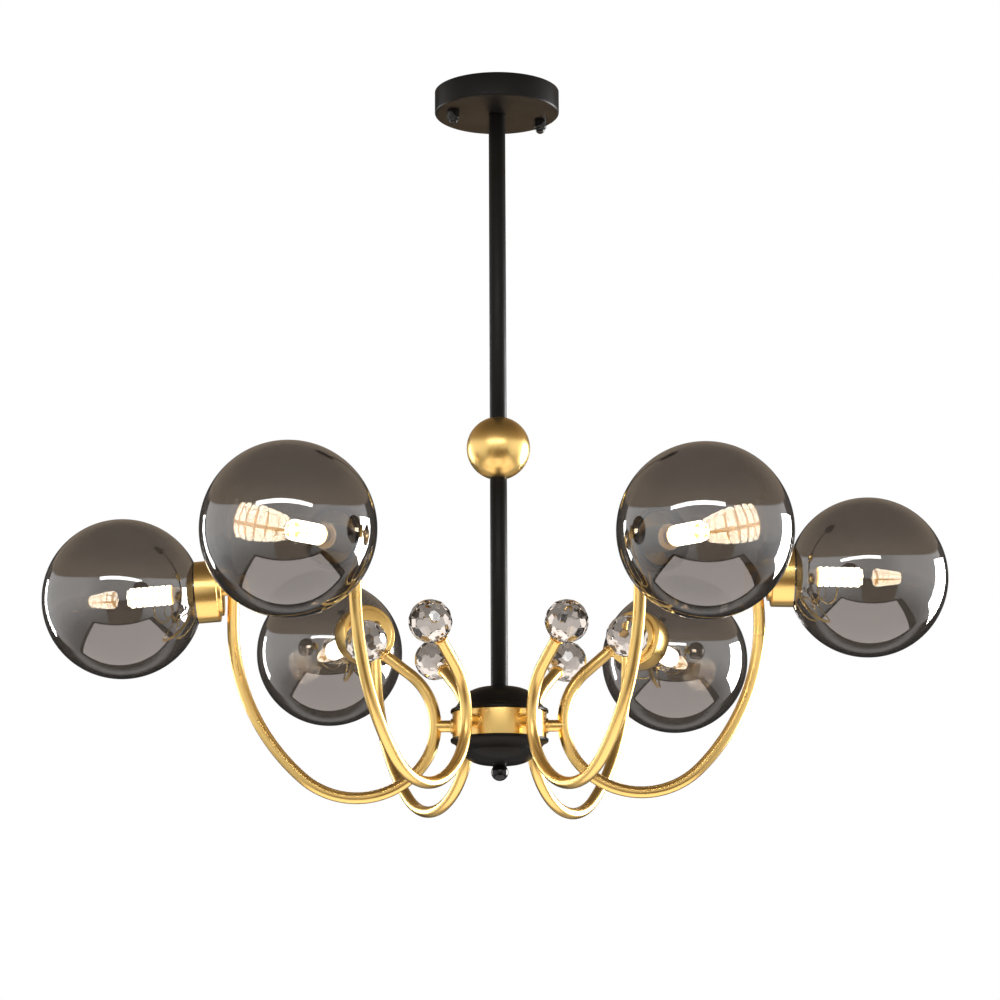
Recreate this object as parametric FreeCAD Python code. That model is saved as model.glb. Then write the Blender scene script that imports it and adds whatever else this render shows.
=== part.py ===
"""Six-branch chandelier with a canopy, a stem, a hub, hooked tube branches, crystals and glass globes.

Millimetres. Z is up and Z = 0 is the ceiling. The origin is the middle of the crossbar's top face.
"""
import FreeCAD, Part
import math
import os

V = FreeCAD.Vector
O, X, Y, Z = V(0, 0, 0), V(1, 0, 0), V(0, 1, 0), V(0, 0, 1)

# ---- driving dimensions ----

# fits
thread_gap = 0.15            # radial room between a thread and its hole, on pieces that stay put
turning_gap = 0.08           # radial room between a thread and a nut that is turned by hand
hole_gap = 0.25              # radial room of a plain hole round a thread
glass_gap = 0.3              # room between glass and metal
bulb_gap = 0.3               # room round the bulb's pins
thread_overrun = 1           # thread that shows past a tightened nut, and depth a blind hole has to spare

# crossbar and its screws
crossbar_length = 104
crossbar_width = 20
crossbar_sheet = 2
crossbar_flat = 72           # middle stretch, which lies on the ceiling
crossbar_drop = 4            # how far the ends step down
crossbar_bend = 45           # degrees of that step
ceiling_hole_spacing = 50
ceiling_hole_d = 5
screw_spacing = 89
screw_d = 4
screw_head_d = 8
screw_head_height = 2.2
screw_slot = 1
screw_in_nut = 7.5           # thread held by the cap nut

# canopy
canopy_d = 120
canopy_height = 23
canopy_sheet = 1.2
canopy_edge = 2.5
canopy_turn = 20             # degrees, crossbar and screws about the stem
cap_nut_d = 12
cap_nut_barrel = 9
cap_nut_tip_d = 9
cap_nut_tip_sink = 0.5       # ball tip's centre below the barrel's end
cap_nut_edge = 1.5
cap_nut_bore_depth = 8.5

# terminal block
block_length = 30
block_width = 15
block_height = 12
block_offset = 30            # from the stem's axis, square to the crossbar
block_poles = 3
block_base = 4
block_barrel_length = 10.5
block_barrel_width = 8
block_screw_d = 4

# threaded tubes and their nuts
pipe_d = 10
pipe_bore = 7
pipe_grip = 12               # thread held by a stem end
pipe_nut_flats = 14
pipe_nut_height = 5
washer_d = 22
washer_sheet = 1.5

# stem
stem_d = 16
stem_wall = 1.2
stem_insert = 15             # length of the threaded insert in each end
stem_upper_length = 301
stem_lower_length = 199
ball_d = 60

# hub
band_d = 87.5
band_height = 25.2
band_wall = 3
band_floor = 2.5
cap_brim_d = 91
cap_height = 23.6
cap_sheet = 1.2
cap_bead = 3                 # height of the brim
cap_bead_edge = 1.5
cap_flare_sag = 1.2          # hollow of the flare above the brim
cap_neck_d = 75              # where the flare ends and the dome begins
cap_neck_rise = 11.5
cap_shoulder_d = 55.5        # a place part way up the dome
cap_shoulder_rise = 19.5
cap_top_d = 22               # flat under the stem and over the finial
finial_d = 16
finial_neck_d = 12.8
finial_neck = 2.2
finial_bore_depth = 8.5

# branches
branch_count = 6
branch_lift = (3.5, -2.5, -0.8, 0.2, 1.6, 0.9)    # degrees each is bent up, from the right-hand one round
tube_d = 11
tube_wall = 1
tube_reach = 59.5            # stem axis to the tube's innermost point, level with the hub studs
waist_radius = 61.5
bottom_radius = 76.5
sweep_radius = 195
tail_slope = 37.3            # degrees above level of the straight end that carries the crystal
tail_length = 27.5
waist_turn = 93.6
bottom_turn = 90.4
holder_rise = 129.2          # hub studs to where the holder leaves the upright
upright_top = 3              # tube's centreline above that point

# hub studs
stud_boss_d = 11
stud_flange_d = 14
stud_flange = 1.6
stud_thread_d = 8
stud_bore = 4
stud_nut_flats = 13
stud_nut_height = 4.5

# crystals
crystal_facet_distance = 19.2    # centre to each facet
crystal_facets_round = 12
crystal_rows = 6
crystal_row_step = 26        # degrees between rows
collar_flange_d = 13
collar_flange = 2
collar_groove_d = 9
collar_groove = 1
collar_seat = 1.5
collar_plug = 8
crystal_stud_d = 5
crystal_stud_length = 9

# globe holders
holder_droop = 4.8           # degrees below level, outwards
nipple_visible = 5
nipple_inside = 11           # thread inside the drum, nut and lampholder included
step_d = 47
step_thickness = 3.5
drum_d = 58
drum_length = 20.5
drum_wall = 1.5
drum_back = 1.6
drum_edge = 1
holder_nut_height = 4

# globes
globe_d = 150
glass_thickness = 2
neck_length = 14
neck_wall = 3
neck_gap = 0.5               # radial room for the thread between neck and drum

# lampholders and bulbs
lampholder_d = 24
lampholder_length = 29
lampholder_edge = 1.5
socket_depth = 11
pin_spacing = 9.5
pin_d = 2.2
pin_length = 9
bulb_base_d = 14
bulb_base = 9
bulb_d = 18
bulb_length = 51

# ---- places worked out from them ----

canopy_floor = -canopy_height + canopy_sheet
ball_flat = math.sqrt(ball_d**2 - stem_d**2) / 2
ball_level = -canopy_height - stem_upper_length - ball_flat
hub_top = ball_level - ball_flat - stem_lower_length
band_top = hub_top - cap_height
stud_level = band_top - band_height / 2
band_bottom = band_top - band_height
hub_bottom = band_bottom - cap_height

neck_d = drum_d - 2 * drum_wall - 2 * neck_gap
rim_to_globe = math.sqrt(globe_d**2 - (drum_d - 2 * drum_wall)**2) / 2 + glass_gap
step_start = tube_d / 2 + nipple_visible
drum_start = step_start + step_thickness
rim_start = drum_start + drum_length
globe_centre = rim_start + rim_to_globe
drum_floor = drum_start + drum_back
lampholder_start = drum_floor + holder_nut_height
bulb_start = lampholder_start + lampholder_length


# ---- shapes used in several pieces ----

def xz(x, z):
    return V(x, 0, z)


def arc(start, middle, end):
    return Part.Arc(start, middle, end).toShape()


def turned(edges):
    """Solid of revolution about Z of the closed outline that these edges make."""
    return Part.Face(Part.Wire(Part.sortEdges(edges)[0])).revolve(O, Z, 360)


def outline(*corners):
    """Closed outline of straight edges in the XZ plane, from (radius, height) pairs."""
    points = [xz(*corner) for corner in corners]
    return [Part.LineSegment(a, b).toShape() for a, b in zip(points, points[1:] + points[:1])]


def rod(diameter, low, high):
    return Part.makeCylinder(diameter / 2, high - low, V(0, 0, low))


def pipe(diameter, bore, low, high):
    return rod(diameter, low, high).cut(rod(bore, low, high))


def hex_nut(flats, low, high, bore):
    corner = flats / math.sqrt(3)
    corners = [V(corner * math.cos(math.radians(60 * i)), corner * math.sin(math.radians(60 * i)), low)
               for i in range(7)]
    prism = Part.Face(Part.makePolygon(corners)).extrude(V(0, 0, high - low))
    return prism.cut(rod(bore, low, high))


def along_x(shape):
    """Lay a shape that was made about Z along X instead."""
    laid = shape.copy()
    laid.rotate(O, Y, 90)
    return laid


# ---- ceiling fixing and canopy ----

def turn_canopy(shape):
    turned_shape = shape.copy()
    turned_shape.rotate(O, Z, canopy_turn)
    return turned_shape


def screw_places():
    return [V(side * screw_spacing / 2, 0, 0) for side in (1, -1)]


def crossbar():
    """Strap with its ends stepped down, so that the screw heads clear the ceiling."""
    flat, end = crossbar_flat / 2, crossbar_length / 2
    run = crossbar_drop / math.tan(math.radians(crossbar_bend))
    inset = crossbar_sheet * math.tan(math.radians(crossbar_bend / 2))
    top = [(flat, 0), (flat + run, -crossbar_drop), (end, -crossbar_drop)]
    under = [(end, -crossbar_drop - crossbar_sheet),
             (flat + run - inset, -crossbar_drop - crossbar_sheet),
             (flat - inset, -crossbar_sheet)]
    half = top + under
    corners = half + [(-x, z) for x, z in reversed(half)]
    strap = Part.Face(Part.Wire(Part.sortEdges(outline(*corners))[0])).extrude(V(0, crossbar_width, 0))
    strap.translate(V(0, -crossbar_width / 2, 0))
    for place in screw_places():
        hole = rod(screw_d + 2 * thread_gap, -canopy_height, 0)
        hole.translate(place)
        strap = strap.cut(hole)
    for side in (1, -1):
        hole = rod(ceiling_hole_d, -canopy_height, 0)
        hole.translate(V(side * ceiling_hole_spacing / 2, 0, 0))
        strap = strap.cut(hole)
    return turn_canopy(strap)


def crossbar_screws():
    tab = -crossbar_drop
    screw = rod(screw_d, -canopy_height - screw_in_nut, tab)
    screw = screw.fuse(rod(screw_head_d, tab, tab + screw_head_height))
    slot = Part.makeBox(screw_head_d, screw_slot, screw_head_height / 2,
                        V(-screw_head_d / 2, -screw_slot / 2, tab + screw_head_height / 2))
    screw = screw.cut(slot)
    return [turn_canopy(screw.translated(place)) for place in screw_places()]


def canopy_cup():
    """Spun cup, open at the ceiling, with a rounded lower edge."""
    radius, sheet = canopy_d / 2, canopy_sheet
    blank = rod(canopy_d, -canopy_height, 0)
    lower = [e for e in blank.Edges if abs(e.BoundBox.ZMax + canopy_height) < 1e-6]
    blank = blank.makeFillet(canopy_edge, lower)
    hollow = rod(canopy_d - 2 * sheet, canopy_floor, 0)
    lower = [e for e in hollow.Edges if abs(e.BoundBox.ZMax - canopy_floor) < 1e-6]
    cup = blank.cut(hollow.makeFillet(canopy_edge - sheet, lower))
    cup = cup.cut(rod(pipe_d + 2 * hole_gap, -canopy_height, canopy_floor))
    for place in screw_places():
        cup = cup.cut(rod(screw_d + 2 * hole_gap, -canopy_height, canopy_floor).translated(place))
    return turn_canopy(cup)


def cap_nut(place):
    """Blind nut with a plain barrel and a ball tip, hard against the canopy."""
    barrel_end = -canopy_height - cap_nut_barrel
    barrel = rod(cap_nut_d, barrel_end, -canopy_height)
    lower = [e for e in barrel.Edges if abs(e.BoundBox.ZMax - barrel_end) < 1e-6]
    nut = barrel.makeFillet(cap_nut_edge, lower)
    nut = nut.fuse(Part.makeSphere(cap_nut_tip_d / 2, V(0, 0, barrel_end - cap_nut_tip_sink)))
    bore = rod(screw_d + 2 * turning_gap, -canopy_height - cap_nut_bore_depth, -canopy_height)
    return turn_canopy(nut.cut(bore).removeSplitter().translated(place))


def canopy_pipe():
    top = canopy_floor + washer_sheet + pipe_nut_height + thread_overrun
    return pipe(pipe_d, pipe_bore, -canopy_height - pipe_grip, top)


def canopy_lock_nut():
    """Washer and nut that hold the stem to the canopy."""
    bore = pipe_d + 2 * thread_gap
    washer = pipe(washer_d, bore, canopy_floor, canopy_floor + washer_sheet)
    seat = canopy_floor + washer_sheet
    return [washer, hex_nut(pipe_nut_flats, seat, seat + pipe_nut_height, bore)]


def terminal_block():
    """Screw terminal on the canopy's floor: a low base with one raised barrel for each pole."""
    block = Part.makeBox(block_length, block_width, block_base,
                         V(-block_length / 2, block_offset - block_width / 2, canopy_floor))
    pitch = block_length / block_poles
    for i in range(block_poles):
        middle = (i - (block_poles - 1) / 2) * pitch
        barrel = Part.makeBox(block_barrel_width, block_barrel_length, block_height - block_base,
                              V(middle - block_barrel_width / 2, block_offset - block_barrel_length / 2,
                                canopy_floor + block_base))
        barrel = barrel.cut(rod(block_screw_d, canopy_floor + block_height / 2, 0)
                            .translated(V(middle, block_offset, 0)))
        block = block.fuse(barrel)
    return turn_canopy(block.removeSplitter())


# ---- stem ----

def stem_tube(low, high):
    """Thin tube with a threaded insert in each end."""
    hollow = stem_d - 2 * stem_wall
    thread = pipe_d + 2 * thread_gap
    tube = rod(stem_d, low, high).cut(rod(thread, low, high))
    return tube.cut(rod(hollow, low + stem_insert, high - stem_insert))


def stem_ball():
    """Turned ball with a flat at each pole where the stem tubes butt against it."""
    ball = Part.makeSphere(ball_d / 2)
    slab = Part.makeBox(ball_d, ball_d, 2 * ball_flat, V(-ball_d / 2, -ball_d / 2, -ball_flat))
    ball = ball.common(slab).cut(rod(pipe_d + 2 * hole_gap, -ball_d / 2, ball_d / 2))
    return ball.translated(V(0, 0, ball_level))


def stem_coupler():
    return pipe(pipe_d, pipe_bore, ball_level - ball_flat - pipe_grip, ball_level + ball_flat + pipe_grip)


# ---- hub ----

def bell_outline(inset):
    """Half section of a hub cap above its brim plane: bead, flared shoulder and shallow dome."""
    brim, bead, height = cap_brim_d / 2 - inset, cap_bead - inset, cap_height - inset
    edge_start, edge_end = xz(brim, bead - cap_bead_edge), xz(brim - cap_bead_edge, bead)
    edge_centre = xz(edge_end.x, edge_start.z)
    neck = xz(cap_neck_d / 2 - inset, cap_neck_rise - inset)
    shoulder = xz(cap_shoulder_d / 2 - inset, cap_shoulder_rise - inset)
    top = xz(cap_top_d / 2, height)
    slope = neck - edge_end
    hollow = V(-slope.z, 0, slope.x).normalize() * cap_flare_sag
    return [Part.LineSegment(O, xz(brim, 0)).toShape(),
            Part.LineSegment(xz(brim, 0), edge_start).toShape(),
            arc(edge_start, edge_centre + xz(1, 1).normalize() * cap_bead_edge, edge_end),
            arc(edge_end, (edge_end + neck) * 0.5 + hollow, neck),
            arc(neck, shoulder, top),
            Part.LineSegment(top, xz(0, height)).toShape(),
            Part.LineSegment(xz(0, height), O).toShape()]


def hub_cap():
    """Spun cap, open below, its brim just outside the band."""
    cap = turned(bell_outline(0)).cut(turned(bell_outline(cap_sheet)))
    return cap.cut(rod(pipe_d + 2 * hole_gap, 0, cap_height))


def hub_top_cap():
    return hub_cap().translated(V(0, 0, band_top))


def hub_bottom_bowl():
    bowl = hub_cap()
    bowl.rotate(O, X, 180)
    return bowl.translated(V(0, 0, band_bottom))


def hub_band():
    """Turned ring with a floor, which the tie tube's nuts clamp, and a hole for each stud."""
    ring = pipe(band_d, band_d - 2 * band_wall, band_bottom, band_top)
    floor = pipe(band_d - band_wall, pipe_d + 2 * hole_gap, band_bottom, band_bottom + band_floor)
    band = ring.fuse(floor).removeSplitter()
    for k in range(branch_count):
        hole = along_x(rod(stud_thread_d + 2 * hole_gap, 0, band_d))
        band = band.cut(on_hub(hole, k))
    return band


def hub_tie_pipe():
    return pipe(pipe_d, pipe_bore, hub_bottom - finial_bore_depth + thread_overrun, hub_top + pipe_grip)


def hub_nuts():
    """One nut under the top cap and one on each side of the band's floor."""
    bore = pipe_d + 2 * thread_gap
    under_cap = hub_top - cap_sheet
    floor_top = band_bottom + band_floor
    seats = ((under_cap - pipe_nut_height, under_cap),
             (floor_top, floor_top + pipe_nut_height),
             (band_bottom - pipe_nut_height, band_bottom))
    return [hex_nut(pipe_nut_flats, low, high, bore) for low, high in seats]


def bottom_finial():
    """Ball nut with a short neck, hard against the bowl."""
    drop = math.sqrt(finial_d**2 - finial_neck_d**2) / 2
    centre = V(0, 0, hub_bottom - finial_neck - drop)
    ball = Part.makeSphere(finial_d / 2, centre)
    above = rod(finial_d * 2, hub_bottom - finial_neck, hub_bottom + finial_d)
    finial = ball.cut(above).fuse(rod(finial_neck_d, hub_bottom - finial_neck, hub_bottom))
    bore = rod(pipe_d + 2 * turning_gap, hub_bottom - finial_bore_depth, hub_bottom)
    return finial.cut(bore)


# ---- branches ----

def on_hub(shape, k):
    """Carry a shape from the stud's frame, +X outward from the stem's axis, to branch k."""
    placed = shape.copy()
    placed.translate(V(0, 0, stud_level))
    placed.rotate(O, Z, 360 / branch_count * k)
    return placed


def on_branch(shape, k):
    """Carry a shape from the branch's frame to branch k.

    The frame's origin is the tube's innermost point and +X points outward.
    """
    placed = shape.copy()
    placed.rotate(O, Y, -branch_lift[k])
    placed.translate(V(tube_reach, 0, 0))
    return on_hub(placed, k)


def step_along(point, heading, length):
    angle = math.radians(heading)
    return point + V(length * math.cos(angle), 0, length * math.sin(angle))


def bend(point, heading, radius, turn):
    """Arc that leaves a point along its heading and bends left, with the point it ends at."""
    centre = step_along(point, heading + 90, radius)
    middle = step_along(centre, heading - 90 + turn / 2, radius)
    end = step_along(centre, heading - 90 + turn, radius)
    return arc(point, middle, end), end


def tail_end():
    """Open end of the tube, where the crystal's collar goes in."""
    heading = 180 + tail_slope
    waist_start = step_along(xz(waist_radius, 0), heading - 90, waist_radius)
    return step_along(waist_start, heading, -tail_length)


def branch_centreline():
    """Tangent runs from the crystal end inward, round the hub stud, under and up to the holder."""
    heading = 180 + tail_slope
    start = tail_end()
    point = step_along(start, heading, tail_length)
    edges = [Part.LineSegment(start, point).toShape()]
    sweep_turn = 270 - tail_slope - waist_turn - bottom_turn
    for radius, turn in ((waist_radius, waist_turn), (bottom_radius, bottom_turn),
                         (sweep_radius, sweep_turn)):
        edge, point = bend(point, heading, radius, turn)
        edges.append(edge)
        heading += turn
    top = xz(point.x, holder_rise + upright_top)
    edges.append(Part.LineSegment(point, top).toShape())
    return Part.Wire(edges)


def upright_x():
    return branch_centreline().Edges[-1].Vertexes[-1].X


def swept(diameter):
    """Round bar along the whole centreline."""
    start = tail_end()
    direction = step_along(O, 180 + tail_slope, 1)
    circle = Part.Wire(Part.makeCircle(diameter / 2, start, direction))
    return branch_centreline().makePipeShell([circle], True, False)


def branch_bar():
    """Outside of a branch, with its domed top end."""
    top = branch_centreline().Edges[-1].Vertexes[-1].Point
    return swept(tube_d).fuse(Part.makeSphere(tube_d / 2, top)).removeSplitter()


def branch_tube():
    return branch_bar().cut(swept(tube_d - 2 * tube_wall))


def hub_stud(k, bar):
    """Flanged boss shaped to the band and to the tube, with a hollow thread through the band."""
    face = band_d / 2
    boss = rod(stud_boss_d, 0, tube_reach).fuse(rod(stud_flange_d, 0, face + stud_flange))
    boss = on_hub(along_x(boss), k)
    boss = boss.cut(rod(band_d, band_bottom, band_top)).cut(bar)
    inner = face - band_wall - stud_nut_height - thread_overrun
    thread = on_hub(along_x(rod(stud_thread_d, inner, face + stud_flange / 2)), k)
    wire_way = on_hub(along_x(rod(stud_bore, 0, face + tube_reach)), k)
    return boss.fuse(thread).cut(wire_way).cut(bar)


def stud_nut(k):
    inner_face = band_d / 2 - band_wall
    seat = math.sqrt(inner_face**2 - stud_nut_flats**2 / 3)
    nut = hex_nut(stud_nut_flats, seat - stud_nut_height, seat, stud_thread_d + 2 * thread_gap)
    return on_hub(along_x(nut), k)


# ---- crystals ----

def on_tail(shape, k):
    """Carry a shape from the tube's open end, +Z out of the tube, to branch k."""
    placed = shape.copy()
    placed.rotate(O, Y, 90 - tail_slope)
    placed.translate(tail_end())
    return on_branch(placed, k)


def crystal_collar():
    """Turned collar: a plug in the tube, a flange, a groove, a seat and the crystal's stud."""
    plug = rod(tube_d - 2 * tube_wall - 2 * thread_gap, -collar_plug, 0)
    groove_top = collar_flange + collar_groove
    seat_top = groove_top + collar_seat
    collar = plug.fuse(rod(collar_flange_d, 0, collar_flange))
    collar = collar.fuse(rod(collar_groove_d, collar_flange, groove_top))
    collar = collar.fuse(rod(tube_d, groove_top, seat_top))
    return collar.fuse(rod(crystal_stud_d, seat_top, seat_top + crystal_stud_length)).removeSplitter()


def crystal():
    """Ball of flat facets in staggered rows, with a flat seat and a blind hole below."""
    reach = 3 * crystal_facet_distance
    ball = Part.makeBox(reach, reach, 2 * crystal_facet_distance,
                        V(-reach / 2, -reach / 2, -crystal_facet_distance))
    slab = Part.makeBox(reach, reach, reach, V(-reach / 2, -reach / 2, crystal_facet_distance))
    for row in range(crystal_rows):
        latitude = (row - (crystal_rows - 1) / 2) * crystal_row_step
        for i in range(crystal_facets_round):
            facet = slab.copy()
            facet.rotate(O, Y, 90 - latitude)
            facet.rotate(O, Z, 360 / crystal_facets_round * (i + row / 2))
            ball = ball.cut(facet)
    hole = rod(crystal_stud_d + 2 * glass_gap, -crystal_facet_distance,
               -crystal_facet_distance + crystal_stud_length + thread_overrun)
    seat = collar_flange + collar_groove + collar_seat
    return ball.cut(hole).translated(V(0, 0, seat + crystal_facet_distance))


# ---- globe holders, lampholders, bulbs and globes ----

def on_holder(shape, k):
    """Carry a shape from the holder's frame, +Z outward from the upright's axis, to branch k."""
    placed = shape.copy()
    placed.rotate(O, Y, 90 + holder_droop)
    placed.translate(xz(upright_x(), holder_rise))
    return on_branch(placed, k)


def holder_nipple(k, bar):
    nipple = pipe(pipe_d, pipe_bore, 0, drum_start + nipple_inside)
    return on_holder(nipple, k).cut(bar)


def holder_drum():
    """Open drum for the globe's neck, with a smaller step at its back."""
    drum = rod(drum_d, drum_start, rim_start)
    back = [e for e in drum.Edges if abs(e.BoundBox.ZMax - drum_start) < 1e-6]
    drum = drum.makeChamfer(drum_edge, back)
    drum = drum.fuse(rod(step_d, step_start, drum_start + drum_edge)).removeSplitter()
    drum = drum.cut(rod(drum_d - 2 * drum_wall, drum_floor, rim_start))
    return drum.cut(rod(pipe_d + 2 * hole_gap, step_start, drum_floor))


def holder_nut():
    return hex_nut(pipe_nut_flats, drum_floor, drum_floor + holder_nut_height, pipe_d + 2 * thread_gap)


def pin_places():
    return [V(0, side * pin_spacing / 2, 0) for side in (1, -1)]


def lampholder():
    """Ceramic holder screwed on the nipple, with two sockets in its face."""
    body = rod(lampholder_d, lampholder_start, bulb_start)
    front = [e for e in body.Edges if abs(e.BoundBox.ZMin - bulb_start) < 1e-6]
    body = body.makeFillet(lampholder_edge, front)
    thread_end = drum_start + nipple_inside
    body = body.cut(rod(pipe_d + 2 * thread_gap, lampholder_start, thread_end + thread_overrun))
    for place in pin_places():
        socket = rod(pin_d + 2 * bulb_gap, bulb_start - socket_depth, bulb_start)
        body = body.cut(socket.translated(place))
    return body


def bulb():
    """Capsule lamp with a slim base and two pins."""
    tip = bulb_start + bulb_length
    body_start = bulb_start + bulb_base
    lamp = rod(bulb_base_d, bulb_start, body_start)
    body = rod(bulb_d, body_start, tip - bulb_d / 2)
    lamp = lamp.fuse(body).fuse(Part.makeSphere(bulb_d / 2, V(0, 0, tip - bulb_d / 2)))
    for place in pin_places():
        lamp = lamp.fuse(rod(pin_d, bulb_start - pin_length, bulb_start).translated(place))
    return lamp.removeSplitter()


def globe():
    """Blown sphere with a neck that goes into the drum, both open to the lampholder."""
    centre = V(0, 0, globe_centre)
    neck_end = globe_centre - rim_to_globe - neck_length
    outside = Part.makeSphere(globe_d / 2, centre).fuse(rod(neck_d, neck_end, globe_centre))
    inside = Part.makeSphere(globe_d / 2 - glass_thickness, centre)
    return outside.cut(inside).cut(rod(neck_d - 2 * neck_wall, neck_end, globe_centre)).removeSplitter()


# ---- assembly ----

def build():
    """Every node's name with its solids."""
    left, right = screw_places()[1], screw_places()[0]
    nodes = {
        "crossbar": [crossbar()],
        "crossbar_screws": crossbar_screws(),
        "canopy_cup": [canopy_cup()],
        "cap_nut_left": [cap_nut(left)],
        "cap_nut_right": [cap_nut(right)],
        "canopy_pipe": [canopy_pipe()],
        "canopy_lock_nut": canopy_lock_nut(),
        "terminal_block": [terminal_block()],
        "stem_upper": [stem_tube(ball_level + ball_flat, -canopy_height)],
        "stem_ball": [stem_ball()],
        "stem_coupler": [stem_coupler()],
        "stem_lower": [stem_tube(hub_top, ball_level - ball_flat)],
        "hub_top_cap": [hub_top_cap()],
        "hub_band": [hub_band()],
        "hub_bottom_bowl": [hub_bottom_bowl()],
        "hub_tie_pipe": [hub_tie_pipe()],
        "hub_nuts": hub_nuts(),
        "bottom_finial": [bottom_finial()],
    }
    bar = branch_bar()
    tube, gem, collar = branch_tube(), crystal(), crystal_collar()
    drum, nut, lamp_socket, lamp, glass = holder_drum(), holder_nut(), lampholder(), bulb(), globe()
    groups = {name: [] for name in ("hub_studs", "stud_nuts", "crystal_collars",
                                    "holder_nipples", "holder_nuts")}
    for k in range(branch_count):
        placed_bar = on_branch(bar, k)
        groups["hub_studs"].append(hub_stud(k, placed_bar))
        groups["stud_nuts"].append(stud_nut(k))
        groups["crystal_collars"].append(on_tail(collar, k))
        groups["holder_nipples"].append(holder_nipple(k, placed_bar))
        groups["holder_nuts"].append(on_holder(nut, k))
        number = k + 1
        nodes[f"branch_tube_{number}"] = [on_branch(tube, k)]
        nodes[f"crystal_{number}"] = [on_tail(gem, k)]
        nodes[f"holder_drum_{number}"] = [on_holder(drum, k)]
        nodes[f"lampholder_{number}"] = [on_holder(lamp_socket, k)]
        nodes[f"bulb_{number}"] = [on_holder(lamp, k)]
        nodes[f"globe_{number}"] = [on_holder(glass, k)]
    nodes.update(groups)
    return nodes


def export(nodes):
    os.makedirs("parts", exist_ok=True)
    for name, shapes in nodes.items():
        solids = [solid for shape in shapes for solid in shape.Solids]
        shape = solids[0] if len(solids) == 1 else Part.makeCompound(solids)
        shape.exportStep(f"parts/{name}.step")
        box = shape.BoundBox
        print(f"{name:18s} solids {len(solids)} faces {len(shape.Faces):3d} valid {shape.isValid()}"
              f" volume {shape.Volume:10.1f} z {box.ZMin:8.1f} {box.ZMax:8.1f}")


export(build())
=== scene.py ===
"""Branch chandelier: black canopy, stem and hub, six hooked gold tubes, faceted crystals, smoked globes.

Metres in Blender. Sizes below are millimetres, turned into metres where a mesh is made.
Z = 0 is the ceiling, and +X points along the right-hand branch.
"""
import math

import bmesh
import bpy
import numpy as np
from mathutils import Matrix, Vector


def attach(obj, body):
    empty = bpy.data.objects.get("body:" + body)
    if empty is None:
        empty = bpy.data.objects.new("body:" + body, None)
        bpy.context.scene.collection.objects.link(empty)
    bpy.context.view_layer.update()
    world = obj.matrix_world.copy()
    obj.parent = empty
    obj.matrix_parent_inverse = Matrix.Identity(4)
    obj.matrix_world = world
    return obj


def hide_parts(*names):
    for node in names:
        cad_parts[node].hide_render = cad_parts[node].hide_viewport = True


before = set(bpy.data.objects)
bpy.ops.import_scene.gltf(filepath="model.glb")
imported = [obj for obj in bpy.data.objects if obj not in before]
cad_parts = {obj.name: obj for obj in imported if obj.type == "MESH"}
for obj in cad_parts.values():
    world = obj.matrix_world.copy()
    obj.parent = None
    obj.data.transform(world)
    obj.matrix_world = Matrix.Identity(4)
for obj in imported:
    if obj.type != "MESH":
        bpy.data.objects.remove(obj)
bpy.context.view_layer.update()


# ---- studio: camera, backdrop, light boards and lamps ----
# The lamp hangs free, so there is no ceiling: white all round behind it and a pale floor far below.
# What metal and glass mirror is a plain room: dim ceiling, pale walls, a pale mat and three windows.
# A small warm lamp stands for the bulbs' light on the canopy's underside.

def node(tree, kind, **inputs):
    """A shader node with its inputs set; a socket as a value is linked. _0 is the first input."""
    made = tree.nodes.new(kind)
    for name, value in inputs.items():
        socket = made.inputs[int(name[1:]) if name[0] == "_" else name.replace("_", " ")]
        if isinstance(value, bpy.types.NodeSocket):
            tree.links.new(value, socket)
        else:
            socket.default_value = value
    return made


def calculate(tree, operation, *values):
    """Result of a math node; each value is a number or a socket."""
    made = node(tree, "ShaderNodeMath", **{f"_{i}": value for i, value in enumerate(values)})
    made.operation = operation
    return made.outputs[0]


def ramp(tree, value, start, end, low=0.0, high=1.0):
    """Smooth step from low at start to high at end."""
    made = node(tree, "ShaderNodeMapRange", Value=value, From_Min=start, From_Max=end,
                To_Min=low, To_Max=high)
    made.interpolation_type = "SMOOTHSTEP"
    return made.outputs[0]


def blend(tree, share, first, second):
    """Colour that goes from the first to the second as share goes from 0 to 1."""
    made = tree.nodes.new("ShaderNodeMix")
    made.data_type = "RGBA"
    for place, value in ((0, share), (6, first), (7, second)):
        if isinstance(value, bpy.types.NodeSocket):
            tree.links.new(value, made.inputs[place])
        else:
            made.inputs[place].default_value = value if place == 0 else (*value, 1)
    return made.outputs[2]


def place_camera():
    """The photograph's view point, fitted to globes, crystals, canopy, hub band and ball."""
    around, upward, roll = (math.radians(a) for a in (0.368, 11.553, 0.254))
    data = bpy.data.cameras.new("photo_camera")
    data.lens, data.sensor_width, data.sensor_fit = 111.19, 36, "HORIZONTAL"
    data.clip_start, data.clip_end = 0.05, 60
    camera = bpy.data.objects.new("photo_camera", data)
    bpy.context.scene.collection.objects.link(camera)
    camera.matrix_world = (Matrix.Translation((0.01968, -2.85204, -0.9858)) @ Matrix.Rotation(around, 4, "Z")
                           @ Matrix.Rotation(math.pi / 2 + upward, 4, "X") @ Matrix.Rotation(-roll, 4, "Z"))
    bpy.context.scene.camera = camera


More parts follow.
